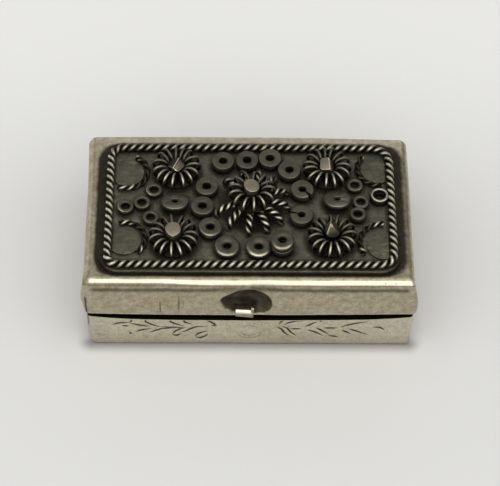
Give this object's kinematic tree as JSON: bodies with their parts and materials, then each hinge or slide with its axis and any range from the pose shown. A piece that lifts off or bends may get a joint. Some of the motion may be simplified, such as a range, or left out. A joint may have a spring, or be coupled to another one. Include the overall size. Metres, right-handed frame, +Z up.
{
  "type": "hinged pill box",
  "caption": "Small rectangular silver pill box with a hinged lid, a thumb dish and a dark plaque of twisted wire, rosettes and washers.",
  "frame": {"origin": "middle of the box on the surface it stands on, halfway between the thumb-piece and the back of the hinge barrel", "axes": "+X to the right along the length, +Y to the back where the hinge is, +Z up"},
  "size_m": [0.045, 0.0266, 0.02],
  "materials": {
    "lid_silver": "rubbed and lightly scratched, warm grey",
    "base_silver": "rubbed satin with fine scratches",
    "worn_silver": "oxidised in the hollows, bright where rubbed",
    "dark_silver": "dark oxidised",
    "stud_silver": "oxidised sides, rubbed tops with a warm cast"
  },
  "bodies": {
    "base": {"base_tray": "base_silver", "inner_rim": "lid_silver", "hinge_pin": "lid_silver", "base_knuckle_1": "lid_silver", "base_knuckle_3": "lid_silver", "base_knuckle_5": "lid_silver"},
    "lid": {"lid_shell": "lid_silver", "lid_knuckle_2": "lid_silver", "lid_knuckle_4": "lid_silver", "thumb_piece": "lid_silver", "plaque_plate": "dark_silver", "rope_border": "worn_silver", "corner_disc_back_left": "dark_silver", "corner_disc_back_right": "dark_silver", "corner_disc_front_left": "dark_silver", "corner_disc_front_right": "dark_silver", "corner_arc_back_left": "worn_silver", "corner_arc_back_right": "worn_silver", "corner_arc_front_left": "worn_silver", "corner_arc_front_right": "worn_silver", "rosette_back_left": "worn_silver", "rosette_back_right": "worn_silver", "rosette_front_left": "worn_silver", "rosette_front_right": "worn_silver", "rosette_stud_back_left": "stud_silver", "rosette_stud_back_right": "stud_silver", "rosette_stud_front_left": "stud_silver", "rosette_stud_front_right": "stud_silver", "stem_cage": "worn_silver", "flower_rosette": "worn_silver", "flower_stud": "stud_silver", "washer_1": "worn_silver", "washer_2": "worn_silver", "washer_3": "worn_silver", "washer_4": "worn_silver", "washer_5": "worn_silver", "washer_6": "worn_silver", "washer_7": "worn_silver", "washer_8": "worn_silver", "washer_9": "worn_silver", "washer_10": "worn_silver", "washer_11": "worn_silver", "stacked_washer_lower": "dark_silver", "stacked_washer_upper": "worn_silver", "large_washer_left": "dark_silver", "large_washer_right": "dark_silver", "small_ring_left_1": "worn_silver", "small_ring_left_2": "worn_silver", "small_ring_left_3": "worn_silver", "small_ring_left_4": "worn_silver", "small_ring_right_1": "worn_silver", "small_ring_right_2": "worn_silver", "small_ring_right_3": "worn_silver", "small_ring_right_4": "worn_silver"}
  },
  "joints": [
    {"name": "lid_hinge", "type": "hinge", "parent": "base", "child": "lid", "pos_m": [0, 0.01265, 0.00735], "axis": [-1, 0, 0], "range_deg": [0, 105]}
  ]
}
